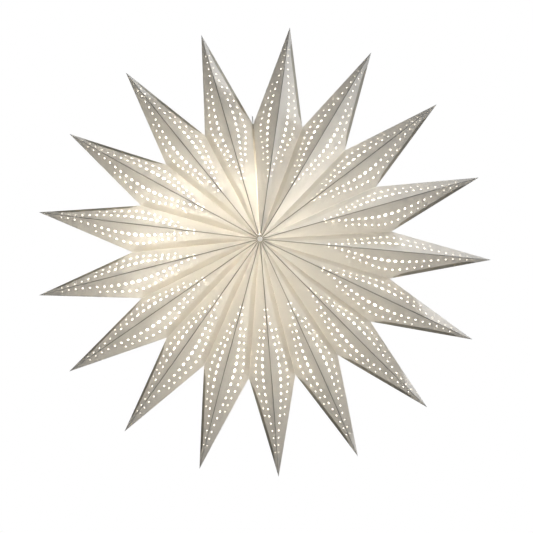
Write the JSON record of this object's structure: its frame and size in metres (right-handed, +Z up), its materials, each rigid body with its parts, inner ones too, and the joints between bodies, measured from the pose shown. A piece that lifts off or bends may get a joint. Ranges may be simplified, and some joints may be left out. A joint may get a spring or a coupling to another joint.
{
  "type": "folding paper star lantern",
  "caption": "Hanging paper star lantern with hollow pointed rays that fan out round a flat hub and hook together at the top, and a small lamp hung inside on a swinging yoke.",
  "frame": {"origin": "centre of the hanging hole, at the top of the hanger plate", "axes": "+Z up, away from the star and towards the ceiling hook; the front of the star faces -Y and the fold axis through the hub lies along Y, 232.5 mm below the origin; +X to the right seen from the front"},
  "size_m": [0.796, 0.2494, 0.7943],
  "materials": {
    "paper": "matt white star paper, lit from behind",
    "card": "plain grey-beige card",
    "steel": "thin bright strip and wire",
    "white_plastic": "white moulded plastic",
    "thread": "white waxed thread",
    "brass": "pressed brass",
    "black_plastic": "black insulator",
    "bulb_glass": "frosted warm bulb",
    "stem_glass": "clear glass stem"
  },
  "bodies": {
    "hanger": {"hanger_plate": "steel", "end_card_a": "card", "closure_stud_top": "steel", "closure_stud_front": "steel", "closure_stud_back": "steel", "hub_button_front": "white_plastic", "hub_button_back": "white_plastic", "hub_washer_front": "card", "hub_washer_back": "card", "hub_tie_front": "thread", "hub_tie_back": "thread"},
    "fold_01": {"point_01": "paper"},
    "fold_02": {"point_02": "paper"},
    "fold_03": {"point_03": "paper"},
    "fold_04": {"point_04": "paper"},
    "fold_05": {"point_05": "paper"},
    "fold_06": {"point_06": "paper"},
    "fold_07": {"point_07": "paper"},
    "fold_08": {"point_08": "paper"},
    "fold_09": {"point_09": "paper"},
    "fold_10": {"point_10": "paper"},
    "fold_11": {"point_11": "paper"},
    "fold_12": {"point_12": "paper"},
    "fold_13": {"point_13": "paper"},
    "fold_14": {"point_14": "paper"},
    "fold_15": {"point_15": "paper"},
    "fold_16": {"point_16": "paper"},
    "fold_17": {"point_17": "paper", "end_card_b": "card"},
    "lamp": {"lamp_pin": "steel", "lamp_yoke": "steel", "cord_grip_nut": "white_plastic", "lampholder_cap": "white_plastic", "lampholder_shell": "white_plastic", "lampholder_clamp_ring": "white_plastic", "lampholder_contacts": "brass"},
    "bulb": {"bulb_base": "brass", "bulb_contact": "black_plastic", "bulb_glass": "bulb_glass", "bulb_filament_stem": "stem_glass"}
  },
  "joints": [
    {"name": "fan_01", "type": "hinge", "parent": "hanger", "child": "fold_01", "pos_m": [0, 0, -0.2325], "axis": [0, -1, 0], "range_deg": [0, 20], "deforming": ["point_01"]},
    {"name": "fan_02", "type": "hinge", "parent": "fold_01", "child": "fold_02", "pos_m": [0, 0, -0.2325], "axis": [0, -1, 0], "range_deg": [0, 20], "deforming": ["point_02"]},
    {"name": "fan_03", "type": "hinge", "parent": "fold_02", "child": "fold_03", "pos_m": [0, 0, -0.2325], "axis": [0, -1, 0], "range_deg": [0, 20], "deforming": ["point_03"]},
    {"name": "fan_04", "type": "hinge", "parent": "fold_03", "child": "fold_04", "pos_m": [0, 0, -0.2325], "axis": [0, -1, 0], "range_deg": [0, 20], "deforming": ["point_04"]},
    {"name": "fan_05", "type": "hinge", "parent": "fold_04", "child": "fold_05", "pos_m": [0, 0, -0.2325], "axis": [0, -1, 0], "range_deg": [0, 20], "deforming": ["point_05"]},
    {"name": "fan_06", "type": "hinge", "parent": "fold_05", "child": "fold_06", "pos_m": [0, 0, -0.2325], "axis": [0, -1, 0], "range_deg": [0, 20], "deforming": ["point_06"]},
    {"name": "fan_07", "type": "hinge", "parent": "fold_06", "child": "fold_07", "pos_m": [0, 0, -0.2325], "axis": [0, -1, 0], "range_deg": [0, 20], "deforming": ["point_07"]},
    {"name": "fan_08", "type": "hinge", "parent": "fold_07", "child": "fold_08", "pos_m": [0, 0, -0.2325], "axis": [0, -1, 0], "range_deg": [0, 20], "deforming": ["point_08"]},
    {"name": "fan_09", "type": "hinge", "parent": "fold_08", "child": "fold_09", "pos_m": [0, 0, -0.2325], "axis": [0, -1, 0], "range_deg": [0, 20], "deforming": ["point_09"]},
    {"name": "fan_10", "type": "hinge", "parent": "fold_09", "child": "fold_10", "pos_m": [0, 0, -0.2325], "axis": [0, -1, 0], "range_deg": [0, 20], "deforming": ["point_10"]},
    {"name": "fan_11", "type": "hinge", "parent": "fold_10", "child": "fold_11", "pos_m": [0, 0, -0.2325], "axis": [0, -1, 0], "range_deg": [0, 20], "deforming": ["point_11"]},
    {"name": "fan_12", "type": "hinge", "parent": "fold_11", "child": "fold_12", "pos_m": [0, 0, -0.2325], "axis": [0, -1, 0], "range_deg": [0, 20], "deforming": ["point_12"]},
    {"name": "fan_13", "type": "hinge", "parent": "fold_12", "child": "fold_13", "pos_m": [0, 0, -0.2325], "axis": [0, -1, 0], "range_deg": [0, 20], "deforming": ["point_13"]},
    {"name": "fan_14", "type": "hinge", "parent": "fold_13", "child": "fold_14", "pos_m": [0, 0, -0.2325], "axis": [0, -1, 0], "range_deg": [0, 20], "deforming": ["point_14"]},
    {"name": "fan_15", "type": "hinge", "parent": "fold_14", "child": "fold_15", "pos_m": [0, 0, -0.2325], "axis": [0, -1, 0], "range_deg": [0, 20], "deforming": ["point_15"]},
    {"name": "fan_16", "type": "hinge", "parent": "fold_15", "child": "fold_16", "pos_m": [0, 0, -0.2325], "axis": [0, -1, 0], "range_deg": [0, 20], "deforming": ["point_16"]},
    {"name": "fan_17", "type": "hinge", "parent": "fold_16", "child": "fold_17", "pos_m": [0, 0, -0.2325], "axis": [0, -1, 0], "range_deg": [0, 20], "deforming": ["point_17"]},
    {"name": "lamp_swing", "type": "hinge", "parent": "hanger", "child": "lamp", "pos_m": [0, 0, -0.0805], "axis": [1, 0, 0], "range_deg": [-14, 14]},
    {"name": "bulb_unscrew", "type": "hinge", "parent": "lamp", "child": "bulb", "pos_m": [0, 0, -0.1425], "axis": [0, 0, -1], "range_deg": [0, 1260]}
  ],
  "couplings": [
    {"joint": "fan_02", "follows": "fan_01", "ratio": 1},
    {"joint": "fan_03", "follows": "fan_01", "ratio": 1},
    {"joint": "fan_04", "follows": "fan_01", "ratio": 1},
    {"joint": "fan_05", "follows": "fan_01", "ratio": 1},
    {"joint": "fan_06", "follows": "fan_01", "ratio": 1},
    {"joint": "fan_07", "follows": "fan_01", "ratio": 1},
    {"joint": "fan_08", "follows": "fan_01", "ratio": 1},
    {"joint": "fan_09", "follows": "fan_01", "ratio": 1},
    {"joint": "fan_10", "follows": "fan_01", "ratio": 1},
    {"joint": "fan_11", "follows": "fan_01", "ratio": 1},
    {"joint": "fan_12", "follows": "fan_01", "ratio": 1},
    {"joint": "fan_13", "follows": "fan_01", "ratio": 1},
    {"joint": "fan_14", "follows": "fan_01", "ratio": 1},
    {"joint": "fan_15", "follows": "fan_01", "ratio": 1},
    {"joint": "fan_16", "follows": "fan_01", "ratio": 1},
    {"joint": "fan_17", "follows": "fan_01", "ratio": 1}
  ]
}
